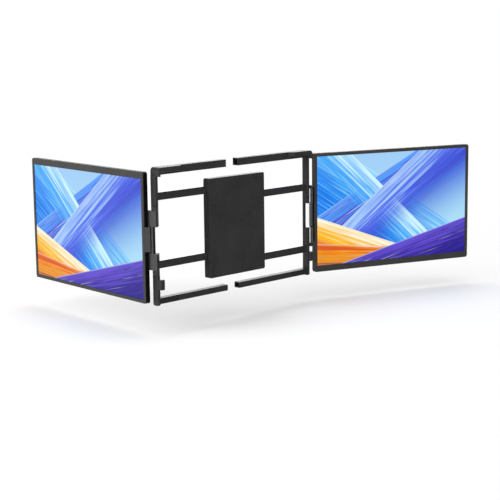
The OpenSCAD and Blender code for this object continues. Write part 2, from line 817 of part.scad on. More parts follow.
// From the front edge of the screen a flank runs tangent to the round nose about the pin
module knuckle_plan() {
  pin = [-screen_pin_out, screen_pin_deep];
  edge = [0, knuckle_step];
  lean = atan2(edge.x - pin.x, pin.y - edge.y) + asin(link_r / norm(pin - edge));
  nose = [for (i = [0 : nose_steps]) 90 + i * (90 + lean) / nose_steps];
  polygon(concat([edge, [0, panel_t]], [for (a = nose) pin + link_r * [cos(a), sin(a)]]));
}

module hinge_leaf(side) {
  z0 = leaf_z(side) - knuckle_h / 2;
  z1 = z0 + knuckle_h;
  color("#38383a") screen_place(side) difference() {
    union() {
      translate([0, 0, z0]) linear_extrude(knuckle_h) knuckle_plan();
      box([-weld, bezel_t + window_play, z0], [shell_wall, panel_t, z1]);
      box([shell_wall - weld, shell_in_y - leaf_t, z0], [leaf_len, shell_in_y, z1]);
    }
    translate([-screen_pin_out, screen_pin_deep, z0 - past])
      cylinder(r = pin_r + pin_clear, h = knuckle_h + 2 * past);
    for (x = leaf_screw_x(), z = leaf_screw_z(side)) translate([x, 0, z])
      rod_y(screw_r, shell_in_y - leaf_t - past, shell_in_y + past);
  }
}

module leaf_screws(side) {
  color("silver") screen_place(side)
    for (x = leaf_screw_x(), z = leaf_screw_z(side)) translate([x, 0, z])
      screw_from_back(panel_t + screw_head_t, shell_in_y - leaf_t, screw_r, screw_head_r);
}

// ---- drawing ----

housing_front_cover();
housing_back_cover();
housing_screws();
bar_brake_pads();
kickstand_leg();
kickstand_pin();
kickstand_foot();
post(LEFT);  // left_post
corner_hook(LEFT);  // left_corner_hook
top_arm(LEFT);  // left_top_arm
bottom_arm(LEFT);  // left_bottom_arm
guide_bars(LEFT);  // left_guide_bars
grip_pads(LEFT);  // left_grip_pads
post_pins(LEFT);  // left_post_pins
bar_screws(LEFT);  // left_bar_screws
post(RIGHT);  // right_post
corner_hook(RIGHT);  // right_corner_hook
top_arm(RIGHT);  // right_top_arm
bottom_arm(RIGHT);  // right_bottom_arm
guide_bars(RIGHT);  // right_guide_bars
grip_pads(RIGHT);  // right_grip_pads
post_pins(RIGHT);  // right_post_pins
bar_screws(RIGHT);  // right_bar_screws
hinge_link(LEFT);  // left_hinge_link
screen_pin(LEFT);  // left_screen_pin
hinge_washers(LEFT);  // left_hinge_washers
hinge_link(RIGHT);  // right_hinge_link
screen_pin(RIGHT);  // right_screen_pin
hinge_washers(RIGHT);  // right_hinge_washers
back_shell(LEFT);  // left_back_shell
front_frame(LEFT);  // left_front_frame
lcd_glass(LEFT);  // left_lcd_glass
backlight(LEFT);  // left_backlight
driver_board(LEFT);  // left_driver_board
usb_sockets(LEFT);  // left_usb_sockets
button_switches(LEFT);  // left_button_switches
hinge_leaf(LEFT);  // left_hinge_leaf
leaf_screws(LEFT);  // left_leaf_screws
power_button(LEFT);  // left_power_button
menu_rocker(LEFT);  // left_menu_rocker
back_shell(RIGHT);  // right_back_shell
front_frame(RIGHT);  // right_front_frame
lcd_glass(RIGHT);  // right_lcd_glass
backlight(RIGHT);  // right_backlight
driver_board(RIGHT);  // right_driver_board
usb_sockets(RIGHT);  // right_usb_sockets
button_switches(RIGHT);  // right_button_switches
hinge_leaf(RIGHT);  // right_hinge_leaf
leaf_screws(RIGHT);  // right_leaf_screws
power_button(RIGHT);  // right_power_button
menu_rocker(RIGHT);  // right_menu_rocker
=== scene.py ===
"""Clamp-on screen extender: finishes, softened mouldings, screws, lit screens, lights, camera."""
import json
import math

import bmesh
import bpy
import numpy as np
from mathutils import Matrix, Vector

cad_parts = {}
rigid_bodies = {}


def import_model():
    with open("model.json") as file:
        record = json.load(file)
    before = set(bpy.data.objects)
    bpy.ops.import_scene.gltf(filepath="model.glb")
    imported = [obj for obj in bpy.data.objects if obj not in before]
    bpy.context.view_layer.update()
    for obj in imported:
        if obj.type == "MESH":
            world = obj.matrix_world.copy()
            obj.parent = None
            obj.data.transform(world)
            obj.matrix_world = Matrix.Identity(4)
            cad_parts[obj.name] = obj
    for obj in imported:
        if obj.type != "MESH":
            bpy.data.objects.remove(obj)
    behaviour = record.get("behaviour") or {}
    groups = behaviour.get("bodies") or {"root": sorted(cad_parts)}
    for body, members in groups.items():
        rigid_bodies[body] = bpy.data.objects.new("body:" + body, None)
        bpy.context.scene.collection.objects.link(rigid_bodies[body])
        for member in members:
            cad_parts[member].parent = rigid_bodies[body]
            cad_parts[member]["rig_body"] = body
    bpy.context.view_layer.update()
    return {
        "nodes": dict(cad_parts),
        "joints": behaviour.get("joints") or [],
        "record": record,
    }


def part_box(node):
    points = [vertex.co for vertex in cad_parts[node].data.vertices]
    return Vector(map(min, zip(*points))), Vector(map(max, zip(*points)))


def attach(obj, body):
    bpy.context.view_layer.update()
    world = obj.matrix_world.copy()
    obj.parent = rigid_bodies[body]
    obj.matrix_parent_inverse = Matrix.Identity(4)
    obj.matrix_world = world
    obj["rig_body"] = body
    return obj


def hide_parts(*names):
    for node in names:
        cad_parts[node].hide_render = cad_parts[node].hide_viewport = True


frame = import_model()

MM = 0.001
SIDES = ("left", "right")
NODES = frame["nodes"]
JOINTS = {joint["name"]: joint for joint in frame["joints"]}
SLOT = {part["node"]: part["material_slot"] for part in frame["record"]["subparts"]}

# Finishes; the scale of a noise or pattern is its spots to a metre
NOISE_BAND = (0.3, 0.7)      # a noise lies between these nearly everywhere
BUMP_STRENGTH = 0.5
BROAD_SCALE = 22.0           # slow change of tone over a moulding
GRAIN_SHARE = 0.35           # of a moulding's change of tone; the rest is the slow one
PEEL_SCALE = 900.0           # orange peel of a powder coat
POWDER_SCALE = 4200.0        # powder grain of the same
PEEL_SHARE = 0.7             # of a powder coat's relief; the rest is its grain
GRIND_SCALE = 2600.0         # lines of ground metal
MOTTLE_SCALE = 700.0         # mottle of rubber and felt
TRACK_SCALE = 260.0          # tracks of a circuit board
DOT_SCALE = 900.0            # dots of the diffuser's film

# Screens
SIDE_BEZEL = 5.8 * MM        # narrow frame at a screen's short edges
THIN_BEZEL = 5.6 * MM        # narrow frame at one long edge
WIDE_BEZEL = 10.8 * MM       # wide frame at the other long edge
BEZEL_T = 1.2 * MM           # thickness of the front frame
CORNER_R = 4.0 * MM          # radius of a screen's corners
WINDOW_R = 0.4 * MM          # radius in the corners of the frame's window
FRAME_ROUND = 0.9 * MM       # round along the front frame's outer edge
LIP_ROUND = 0.4 * MM         # round along the frame's window
GLASS_R = 1.0 * MM           # radius of the glass's corners
GLASS_ROUND = 0.3 * MM       # flat ground along the glass's edges
CORNER_STEPS = 8             # points round each corner of an outline
ROUND_STEPS = 5              # points across a small round

# Picture on the screens; lengths are in heights of the picture
GROUND = [(0.3, (0.42, 0.74, 0.94)), (1.0, (0.36, 0.62, 0.93))]    # by height, behind the folds
NEVER = 9.0                  # so deep that a fold stays whole all over the picture
FADE_FROM = 0.3              # depth from which a fold fades, of the depth where it is gone
EDGE_SOFT = 0.004            # depth over which a fold's edge fades in
COLOURS_AT = (0.0, 0.4, 1.0)    # where a fold's colours lie, of its depth
STREAKS_ALONG = 1.3          # streaks to a height along a fold
STREAKS_ACROSS = 52.0        # and across it
STREAKS_APART = 7.3          # step through the noise from one fold's streaks to the next fold's
STREAK_SWAY = 1.7            # how far the streaks move a fold's colours, of its depth
STREAK_LIT = (0.60, 0.72)    # noise at which a streak starts to be light and is lightest
LIT_DEEP = 0.36              # depth over which light streaks fade away
LIT_MOST = 0.8               # strength of a light streak at the fold's edge
CREST = 0.012                # width of the light line on each fold's edge
CREST_MOST = 0.55            # strength of that line
LIGHT = (0.92, 0.97, 1.0, 1.0)    # colour of light streaks and lines

# Screws
SCREW_APART = 6.0 * MM       # wider than a head and less than from one screw to the next
SCREW_POINTS = 48            # points round a screw
TIP_BAND = 0.1 * MM          # points of a CAD screw this near its end belong to the end
TIP_SIZE = 0.6               # radius of the chamfered end, of the shank's
TIP_LENGTH = 0.5             # length of that chamfer, of the shank's radius
RIM_CHAMFER = 0.1            # chamfer under a head, of its thickness
CROWN_HIGH = 0.7             # height of a head's crown, of its thickness
CROWN_FLAT = 0.66            # flat middle of a head, of its radius
CROSS_REACH = 0.54           # reach of the cross recess, of the head's radius
CROSS_CORNER = 15.0          # degrees from an arm's middle to its corner
CROSS_FLOOR = 0.55           # size of the recess at its floor
CROSS_DEEP = 0.6             # depth of the recess, of the head's thickness
NEAR_ZERO = 1e-6             # stands for 0 where the cross is worked out by a division

# Softened edges
SHARP_FROM = 28.0            # degrees, the least turn that counts as an edge
FLAT_TO = 0.5                # degrees, the most by which two facets of one flat face turn
SMOOTH_TO = 35.0             # degrees, the most that is shaded as one surface
MERGE = 0.001 * MM           # points nearer than this are one
SOFT_STEPS = 3               # facets across a round
SIDE_ROUNDS = {              # radius in mm of the edges of the pieces that each side has
    "post": 0.35, "corner_hook": 0.7, "top_arm": 0.7, "bottom_arm": 0.7, "hinge_link": 0.4,
    "hinge_leaf": 0.25, "back_shell": 0.4, "guide_bars": 0.2, "grip_pads": 0.2, "post_pins": 0.2,
    "screen_pin": 0.2, "hinge_washers": 0.15, "power_button": 0.25, "menu_rocker": 0.25}
COVER_ROUNDS = {"housing_front_cover": 0.5, "housing_back_cover": 0.25}    # outer edges only
STAND_ROUNDS = {"kickstand_leg": 0.4, "kickstand_foot": 0.5, "kickstand_pin": 0.15}

# Camera
CAMERA_PLACE = (-1.51696, -1.56775, 0.33692)    # metres
CAMERA_HEADING = 45.43       # degrees from +X towards +Y
CAMERA_PITCH = -9.85         # degrees up from the horizon
CAMERA_ROLL = -0.71          # degrees about the line of sight
CAMERA_LENS = 98.42          # mm
CAMERA_SENSOR = 36.0         # mm wide

# Room
FLOOR_Z = -0.153             # metres, just below the leg's foot at its lowest
FLOOR_HALF = 6.0             # metres from its middle to a side
FLOOR_TONES = [(0.3, (0.93, 0.93, 0.93)), (0.7, (0.95, 0.95, 0.95))]
FLOOR_SCALE = 3.0            # spots to a metre of the floor's change of tone
FLOOR_FADE = (0.45, 1.3)     # metres from the origin where it starts to fade and is all white
WORLD_LEVEL = 0.66           # of the surround on matt surfaces; 1 is what it shows
DARK_LEVEL = 0.04            # what gloss sees of the black card and overhead
CARD_WAY = (0.6, -0.8, 0.0)  # towards the black card
CARD_EDGE = (0.5, 0.85)      # cosine of the angle from it, where the card fades in and is full
SKY_EDGE = (0.05, 0.4)       # sine of the height at which the surround fades out overhead
BACKDROP_WAY = (0.69, 0.70, 0.17)    # towards the lit white backdrop behind the object
BACKDROP_EDGE = (0.75, 0.93)    # cosine of the angle from it, where it fades in and is full
BACKDROP_LEVEL = 2.3         # what gloss sees of it
SOFT_BOXES = {               # place, width in metres and power in watts; both face the origin
    "key_left": ((-1.9, 0.5, 0.9), 1.2, 14.0),
    "top": ((0.2, 0.2, 2.2), 2.0, 26.0)}


# ---- node helpers ----

class Tree:
    """The node tree of a new material or world, with short calls for the nodes used here."""

    def __init__(self, name, world=False):
        self.owner = (bpy.data.worlds if world else bpy.data.materials).new(name)
        self.owner.use_nodes = True
        self.nodes = self.owner.node_tree.nodes
        self.links = self.owner.node_tree.links
        self.nodes.clear()

    def add(self, kind, **settings):
        node = self.nodes.new(kind)
        for key, value in settings.items():
            setattr(node, key, value)
        return node

    def plug(self, value, socket):
        """A link if value is a socket, and the socket's own value if it is a number or colour."""
        if isinstance(value, bpy.types.NodeSocket):
            self.links.new(value, socket)
        else:
            socket.default_value = value

    def math(self, operation, a, b=0.0, c=0.0):
        node = self.add("ShaderNodeMath", operation=operation)
        for value, socket in zip((a, b, c), node.inputs):
            self.plug(value, socket)
        return node.outputs[0]

    def shared(self, first, share, second):
        """A share of the first value and the rest of the second."""
        return self.math("MULTIPLY_ADD", first, share, self.math("MULTIPLY", second, 1 - share))

    def ramp(self, factor, stops):
        """A colour ramp through (position, colour) stops."""
        node = self.add("ShaderNodeValToRGB")
        elements = node.color_ramp.elements
        while len(elements) < len(stops):
            elements.new(0.5)
        for element, (position, colour) in zip(elements, stops):
            element.position = position
            element.color = (*colour, 1.0)
        self.plug(factor, node.inputs[0])
        return node.outputs[0]

    def blend(self, factor, below, above):
        """A mix of two colours. A Mix node's sockets for them are inputs 6 and 7 and output 2."""
        node = self.add("ShaderNodeMix", data_type="RGBA")
        self.plug(factor, node.inputs[0])
        self.plug(below, node.inputs[6])
        self.plug(above, node.inputs[7])
        return node.outputs[2]

    def spread(self, value, low, high, to_low=0.0, to_high=1.0, smooth=False):
        """value from low..high taken to to_low..to_high and held there."""
        node = self.add("ShaderNodeMapRange", clamp=True)
        if smooth:
            node.interpolation_type = "SMOOTHSTEP"
        for item, socket in zip((value, low, high, to_low, to_high), node.inputs):
            self.plug(item, socket)
        return node.outputs[0]

    def noise(self, vector, scale, detail=2.0, roughness=0.5):
        node = self.add("ShaderNodeTexNoise")
        self.plug(vector, node.inputs["Vector"])
        node.inputs["Scale"].default_value = scale
        node.inputs["Detail"].default_value = detail
        node.inputs["Roughness"].default_value = roughness
        return node.outputs["Fac"]

    def place(self):
        return self.add("ShaderNodeTexCoord").outputs["Object"]

    def tones(self, noise, colour, down, up):
        """A colour that a noise moves between a darker and a lighter tone of itself."""
        darker = [channel * down for channel in colour]
        lighter = [channel * up for channel in colour]
        return self.ramp(noise, list(zip(NOISE_BAND, (darker, lighter))))

    def gloss(self, noise, rough, less, more):
        """A roughness that a noise moves between rough - less and rough + more."""
        return self.spread(noise, *NOISE_BAND, rough - less, rough + more)

    def bump(self, height, distance):
        node = self.add("ShaderNodeBump")
        node.inputs["Strength"].default_value = BUMP_STRENGTH
        node.inputs["Distance"].default_value = distance
        self.plug(height, node.inputs["Height"])
        return node.outputs[0]

    def finish(self, shader):
        """The finished shader on the output."""
        world = isinstance(self.owner, bpy.types.World)
        output = self.add("ShaderNodeOutputWorld" if world else "ShaderNodeOutputMaterial")
        self.links.new(shader, output.inputs["Surface"])
        return self.owner

    def surface(self, **sockets):
        """A material of one Principled shader; an underscore in a name stands for a space."""
        node = self.add("ShaderNodeBsdfPrincipled")
        for key, value in sockets.items():
            self.plug(value, node.inputs[key.replace("_", " ")])
        return self.finish(node.outputs[0])


# ---- finishes ----

def grained_plastic(name, colour, rough, grain=0.35 * MM, depth=0.02 * MM, specular=0.5):
    """Moulded plastic: a fine spark-eroded grain, and a faint change of tone and gloss."""
    tree = Tree(name)
    at = tree.place()
    fine = tree.noise(at, 1 / grain)
    broad = tree.noise(at, BROAD_SCALE, detail=3.0)
    mixed = tree.shared(fine, GRAIN_SHARE, broad)
    return tree.surface(Base_Color=tree.tones(mixed, colour, down=0.8, up=1.22),
                        Specular_IOR_Level=specular,
                        Roughness=tree.gloss(broad, rough, less=0.04, more=0.05),
                        Normal=tree.bump(fine, depth))


def powder_coat(name, colour, rough, specular):
    """Painted metal: a low orange peel over a fine powder grain."""
    tree = Tree(name)
    at = tree.place()
    peel = tree.noise(at, PEEL_SCALE)
    powder = tree.noise(at, POWDER_SCALE, detail=1.0)
    relief = tree.shared(peel, PEEL_SHARE, powder)
    return tree.surface(Base_Color=tree.tones(peel, colour, down=0.8, up=1.22),
                        Specular_IOR_Level=specular,
                        Roughness=tree.gloss(powder, rough, less=0.05, more=0.05),
                        Normal=tree.bump(relief, 0.03 * MM))


def bright_metal(name, colour, rough, along=(1.0, 1.0, 1.0)):
    """Ground metal: fine lines, drawn out where a factor in along is small."""
    tree = Tree(name)
    mapping = tree.add("ShaderNodeMapping")
    tree.plug(tree.place(), mapping.inputs["Vector"])
    mapping.inputs["Scale"].default_value = along
    lines = tree.noise(mapping.outputs[0], GRIND_SCALE, detail=3.0, roughness=0.6)
    return tree.surface(Base_Color=tree.tones(lines, colour, down=0.84, up=1.12),
                        Metallic=1.0,
                        Roughness=tree.gloss(lines, rough, less=0.06, more=0.08),
                        Normal=tree.bump(lines, 0.01 * MM))


def soft_rubber(name, colour):
    """Rubber or felt: matt, with a slight mottle."""
    tree = Tree(name)
    mottle = tree.noise(tree.place(), MOTTLE_SCALE, detail=3.0)
    return tree.surface(Base_Color=tree.tones(mottle, colour, down=0.75, up=1.3),
                        Roughness=tree.gloss(mottle, 0.8, less=0.08, more=0.1),
                        Normal=tree.bump(mottle, 0.04 * MM))


def circuit_board(name):
    """Solder mask with tracks that run in straight lanes under it."""
    tree = Tree(name)
    tracks = tree.add("ShaderNodeTexBrick", offset=0.4, squash=0.6)
    tree.plug(tree.place(), tracks.inputs["Vector"])
    tracks.inputs["Scale"].default_value = TRACK_SCALE
    tracks.inputs["Color1"].default_value = (0.012, 0.11, 0.045, 1)
    tracks.inputs["Color2"].default_value = (0.02, 0.15, 0.06, 1)
    tracks.inputs["Mortar"].default_value = (0.05, 0.24, 0.11, 1)
    return tree.surface(Base_Color=tracks.outputs["Color"], Roughness=0.35)


def diffuser(name):
    """White film with a fine dot pattern."""
    tree = Tree(name)
    dots = tree.add("ShaderNodeTexVoronoi")
    tree.plug(tree.place(), dots.inputs["Vector"])
    dots.inputs["Scale"].default_value = DOT_SCALE
    tone = tree.ramp(dots.outputs["Distance"], [(0.2, (0.86, 0.87, 0.88)), (0.5, (0.78, 0.79, 0.8))])
    return tree.surface(Base_Color=tone, Roughness=0.55)


# Straight folds of the picture, from back to front. In heights of the picture from its lower left
# corner: the edge lies at "at" along the direction "turn" (degrees from the picture's width), the
# colours run over "deep" behind it, and the fold is gone at "gone".
FOLDS = [
    dict(turn=58, at=1.02, deep=1.00, gone=NEVER,
         colours=[(0.30, 0.72, 1.00), (0.02, 0.27, 0.92), (0.008, 0.06, 0.54)]),
    dict(turn=118, at=0.40, deep=0.50, gone=0.84,
         colours=[(0.10, 0.34, 0.96), (0.05, 0.05, 0.60), (0.02, 0.11, 0.72)]),
    dict(turn=47, at=0.98, deep=0.55, gone=0.42,
         colours=[(0.62, 0.92, 1.00), (0.04, 0.40, 0.98), (0.01, 0.12, 0.72)]),
    dict(turn=128, at=0.12, deep=0.50, gone=0.46,
         colours=[(0.40, 0.64, 1.00), (0.08, 0.14, 0.84), (0.04, 0.04, 0.48)]),
    dict(turn=70, at=0.42, deep=0.28, gone=NEVER,
         colours=[(1.00, 0.97, 0.80), (1.00, 0.56, 0.03), (0.80, 0.16, 0.01)]),
    dict(turn=84, at=0.20, deep=0.26, gone=NEVER,
         colours=[(0.72, 0.10, 0.02), (0.95, 0.36, 0.01), (0.16, 0.01, 0.08)]),
    dict(turn=104, at=-0.06, deep=0.40, gone=NEVER,
         colours=[(0.13, 0.08, 0.64), (0.040, 0.022, 0.33), (0.01, 0.01, 0.18)]),
]


def folded(tree, fold, layer, across, up, behind):
    """The colours behind a fold with the fold laid over them.

    A point's depth is the fold's "at" less the point's reach, its distance along the fold's own
    direction. The colours run by depth, moved by a noise that is stretched along the fold's edge.
    """
    turn = math.radians(fold["turn"])
    reach = tree.math("MULTIPLY_ADD", across, math.cos(turn),
                      tree.math("MULTIPLY", up, math.sin(turn)))
    side = tree.math("MULTIPLY_ADD", up, math.cos(turn),
                     tree.math("MULTIPLY", across, -math.sin(turn)))
    depth = tree.math("SUBTRACT", fold["at"], reach)
    lane = tree.add("ShaderNodeCombineXYZ")
    tree.plug(tree.math("MULTIPLY", side, STREAKS_ALONG), lane.inputs[0])
    tree.plug(tree.math("MULTIPLY", depth, STREAKS_ACROSS), lane.inputs[1])
    lane.inputs[2].default_value = STREAKS_APART * layer
    streak = tree.noise(lane.outputs[0], 1.0, detail=3.0, roughness=0.6)
    run = tree.math("MULTIPLY_ADD", tree.math("SUBTRACT", streak, 0.5), STREAK_SWAY,
                    tree.math("DIVIDE", depth, fold["deep"]))
    tone = tree.ramp(run, list(zip(COLOURS_AT, fold["colours"])))
    shine = tree.math("MULTIPLY", tree.spread(streak, *STREAK_LIT),
                      tree.spread(depth, LIT_DEEP, 0.0, 0.0, LIT_MOST))
    crest = tree.spread(depth, CREST, 0.0, 0.0, CREST_MOST)
    tone = tree.blend(tree.math("MAXIMUM", shine, crest), tone, LIGHT)
    from_edge = tree.spread(depth, 0.0, EDGE_SOFT, smooth=True)
    to_end = tree.spread(depth, FADE_FROM * fold["gone"], fold["gone"], 1.0, 0.0, smooth=True)
    return tree.blend(tree.math("MULTIPLY", from_edge, to_end), behind, tone)


def lit_picture(name):
    """A lit screen: straight folds over a pale ground, each with fine streaks along its edge."""
    tree = Tree(name)
    axes = tree.add("ShaderNodeSeparateXYZ")
    tree.plug(tree.add("ShaderNodeUVMap", uv_map="picture").outputs[0], axes.inputs[0])
    across, up = axes.outputs[0], axes.outputs[1]
    picture = tree.ramp(up, GROUND)
    for layer, fold in enumerate(FOLDS):
        picture = folded(tree, fold, layer, across, up, picture)
    return tree.surface(Base_Color=(0.004, 0.004, 0.005, 1), Roughness=0.35,
                        Specular_IOR_Level=0.12, Emission_Color=picture, Emission_Strength=1.0)


FINISH = {
    "bracket_plastic": grained_plastic("bracket_plastic", (0.037, 0.037, 0.0372), 0.28, specular=0.15),
    "shell_plastic": grained_plastic("shell_plastic", (0.0028, 0.0028, 0.0030), 0.46,
                                     grain=0.5 * MM, depth=0.03 * MM, specular=0.25),
    "frame_plastic": grained_plastic("frame_plastic", (0.054, 0.0532, 0.0515), 0.40, specular=0.15),
    "hinge_metal": powder_coat("hinge_metal", (0.0080, 0.0080, 0.0082), 0.30, specular=0.95),
    "button_plastic": grained_plastic("button_plastic", (0.012, 0.012, 0.0122), 0.34),
    "switch_plastic": grained_plastic("switch_plastic", (0.012, 0.012, 0.012), 0.5),
    "washer_nylon": grained_plastic("washer_nylon", (0.006, 0.006, 0.006), 0.42),
    "bar_steel": bright_metal("bar_steel", (0.56, 0.56, 0.57), 0.28, along=(0.02, 1.0, 1.0)),
    "screw_steel": bright_metal("screw_steel", (0.42, 0.42, 0.43), 0.3),
    "socket_steel": bright_metal("socket_steel", (0.6, 0.6, 0.61), 0.22),
    "grip_rubber": soft_rubber("grip_rubber", (0.014, 0.014, 0.014)),
    "brake_felt": soft_rubber("brake_felt", (0.05, 0.06, 0.06)),
    "diffuser_white": diffuser("diffuser_white"),
    "board_green": circuit_board("board_green"),
    "lit_screen": lit_picture("lit_screen"),
}


def paint(thing, node):
    """The finish of a node's slot on every material slot of a thing."""
    if not thing.material_slots:
        thing.data.materials.append(None)
    for slot in thing.material_slots:
        slot.material = FINISH[SLOT[node]]


# ---- pieces ----

def as_piece(mesh, node):
    """Makes a mesh the piece that stands for a CAD node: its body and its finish."""
    thing = bpy.data.objects.new(mesh.name, mesh)
    bpy.context.scene.collection.objects.link(thing)
    paint(thing, node)
    mesh.polygons.foreach_set("use_smooth", np.ones(len(mesh.polygons), bool))
    mesh.set_sharp_from_angle(angle=math.radians(SMOOTH_TO))
    thing.modifiers.new("flat_faces_first", "WEIGHTED_NORMAL").keep_sharp = True
    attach(thing, NODES[node]["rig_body"])
    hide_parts(node)


def in_a_side(edge, sides):
    """Whether both ends of an edge lie in one of the sides of a box, each an (axis, place)."""
    return any(all(abs(end.co[axis] - at) < MERGE for end in edge.verts) for axis, at in sides)


def softened(node, round_by, outside_only=False):
    """A merged copy of a CAD node with its sharp outer edges rounded, as a piece.

    Edges that turn outwards by more than SHARP_FROM become quarter rounds of radius round_by, so
    flat faces keep their planes. The rims of bores stay sharp: the wall of a bore is known by
    edges that turn inwards by less than that. outside_only keeps to the edges that lie in the
    sides of the node's own box, and leaves its ribs and bosses sharp.
    """
    sharp, flat = math.radians(SHARP_FROM), math.radians(FLAT_TO)
    build = bmesh.new()
    build.from_mesh(NODES[node].data)
    bmesh.ops.remove_doubles(build, verts=build.verts, dist=MERGE)
    bmesh.ops.dissolve_limit(build, angle_limit=flat, verts=build.verts, edges=build.edges,
                             delimit={"NORMAL"})
    turns = {edge: edge.calc_face_angle_signed(0.0) for edge in build.edges
             if len(edge.link_faces) == 2}
    bore = {face for edge, turn in turns.items() if -sharp < turn < -flat
            for face in edge.link_faces}
    edges = [edge for edge, turn in turns.items()
             if turn > sharp and bore.isdisjoint(edge.link_faces)]
    if outside_only:
        sides = [(axis, corner[axis]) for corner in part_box(node) for axis in range(3)]
        edges = [edge for edge in edges if in_a_side(edge, sides)]
    bmesh.ops.bevel(build, geom=edges, offset=round_by, offset_type="OFFSET",
                    segments=SOFT_STEPS, profile=0.5, affect="EDGES", clamp_overlap=False)
    mesh = bpy.data.meshes.new(node + "_soft")
    build.to_mesh(mesh)
    build.free()
    as_piece(mesh, node)


def points_of(node):
    """The points of a CAD node's mesh as an array."""
    return np.array([vertex.co for vertex in NODES[node].data.vertices])


def own_axes(side):
    """A screen's own axes: out from its hinge edge, back from its face, to its narrow long edge."""
    out = -Vector(JOINTS[side + "_power_press"]["axis"]).normalized()
    up = Vector((0.0, 0.0, 1.0 if side == "right" else -1.0))
    return out, up.cross(out), up


def own_place(side):
    """The 4x4 from a screen's own coordinates to the row frame, and the screen's width and height.

    Its own origin lies on the hinge edge at half the height, in the plane of the screen's face.
    """
    out, back, up = own_axes(side)
    points = points_of(side + "_front_frame")
    spans = [points @ np.array(axis) for axis in (out, back, up)]
    low = [span.min() for span in spans]
    width, height = np.ptp(spans[0]), np.ptp(spans[2])
    corner = out * low[0] + back * low[1] + up * (low[2] + height / 2)
    turn = Matrix((out, back, up)).transposed().to_4x4()
    return Matrix.Translation(corner) @ turn, width, height


def outline(x0, x1, z0, z1, radius, depth):
    """A closed outline at one depth: a quarter circle round each corner, and straights between.

    Corner by corner from the lower right, anticlockwise: centre + radius * (cos, sin) of the turn.
    """
    turn = np.linspace(0.0, math.pi / 2, CORNER_STEPS)
    corners = [(x1 - radius, z0 + radius, -math.pi / 2), (x1 - radius, z1 - radius, 0.0),
               (x0 + radius, z1 - radius, math.pi / 2), (x0 + radius, z0 + radius, math.pi)]
    arcs = [np.stack([x + radius * np.cos(start + turn), np.full(turn.size, depth),
                      z + radius * np.sin(start + turn)], 1)
            for x, z, start in corners]
    return np.concatenate(arcs)


def rings_to_mesh(name, rings, place, closed=False):
    """A skin over rings of equal length, an array (rings, points, 3).

    Quads join neighbours. closed joins the last ring to the first; otherwise one flat face closes
    each end. Faces point outwards where rings run anticlockwise, seen from the first ring's end.
    """
    count, points = rings.shape[:2]
    index = np.arange(count * points).reshape(count, points)
    rows = count if closed else count - 1
    here, there = index[:rows], index[(np.arange(rows) + 1) % count]
    quads = np.stack([here, there, np.roll(there, -1, 1), np.roll(here, -1, 1)], -1)
    ends = [] if closed else [index[0].tolist(), index[-1][::-1].tolist()]
    mesh = bpy.data.meshes.new(name)
    mesh.from_pydata(rings.reshape(-1, 3).tolist(), [], quads.reshape(-1, 4).tolist() + ends)
    mesh.transform(place)
    mesh.update()
    return mesh


def quarter(radius):
    """A quarter round as pairs (inset from the side, depth from the face), from the face back."""
    turn = np.linspace(0.0, math.pi / 2, ROUND_STEPS)
    return list(zip(radius * (1 - np.sin(turn)), radius * (1 - np.cos(turn))))


def frame_ring(side):
    """The front frame: one section carried round the screen.

    From the window's back edge the section comes forward over a small round, runs out over the
    face and goes back over a larger round. Each ring is an outline of its own, so the frame
    keeps its three widths.
    """
    place, width, height = own_place(side)

    def window(grow, depth):
        return outline(SIDE_BEZEL - grow, width - SIDE_BEZEL + grow,
                       -height / 2 + WIDE_BEZEL - grow, height / 2 - THIN_BEZEL + grow,
                       WINDOW_R + grow, depth)

    def rim(inset, depth):
        return outline(inset, width - inset, -height / 2 + inset, height / 2 - inset,
                       CORNER_R - inset, depth)

    rings = [window(0.0, BEZEL_T)]
    # With its pairs swapped, the quarter round runs from the window's side out to the face.
    rings += [window(depth, inset) for inset, depth in quarter(LIP_ROUND)]
    rings += [rim(inset, depth) for inset, depth in quarter(FRAME_ROUND)]
    rings.append(rim(0.0, BEZEL_T))
    return rings_to_mesh(side + "_front_frame_soft", np.array(rings), place, closed=True)


def lit_glass(side):
    """The glass sheet, its edges ground off flat, with the picture's UV map in picture heights."""
    place, width, height = own_place(side)
    points = [place.inverted() @ Vector(point) for point in points_of(side + "_lcd_glass")]
    low, high = np.min(points, 0), np.max(points, 0)
    steps = ((GLASS_ROUND, low[1]), (0.0, low[1] + GLASS_ROUND), (0.0, high[1] - GLASS_ROUND),
             (GLASS_ROUND, high[1]))
    rings = np.array([outline(low[0] + inset, high[0] - inset, low[2] + inset, high[2] - inset,
                              GLASS_R - inset, depth) for inset, depth in steps])
    mesh = rings_to_mesh(side + "_lit_glass", rings, place)
    corner = np.zeros(len(mesh.loops), int)
    mesh.loops.foreach_get("vertex_index", corner)
    flat = rings.reshape(-1, 3)[corner]
    shown = height - WIDE_BEZEL - THIN_BEZEL
    across, up = flat[:, 0] - SIDE_BEZEL, flat[:, 2] + height / 2 - WIDE_BEZEL
    if side == "left":           # this screen hangs the other way up
        across, up = width - 2 * SIDE_BEZEL - across, shown - up
    picture = np.stack([across, up], 1) / shown
    mesh.uv_layers.new(name="picture").data.foreach_set("uv", picture.ravel())
    return mesh


def cross(turn):
    """Distance from a plus sign's middle to its outline in each direction, its arms reaching 1.

    turn is folded to the angle from the nearest arm's middle. The outline is then the nearer of
    the arm's end, 1 / cos, and the arm's side, half its width / sin.
    """
    fold = np.abs((turn + math.pi / 4) % (math.pi / 2) - math.pi / 4)
    half_width = math.tan(math.radians(CROSS_CORNER))
    return np.minimum(1 / np.cos(fold), half_width / np.maximum(np.sin(fold), NEAR_ZERO))


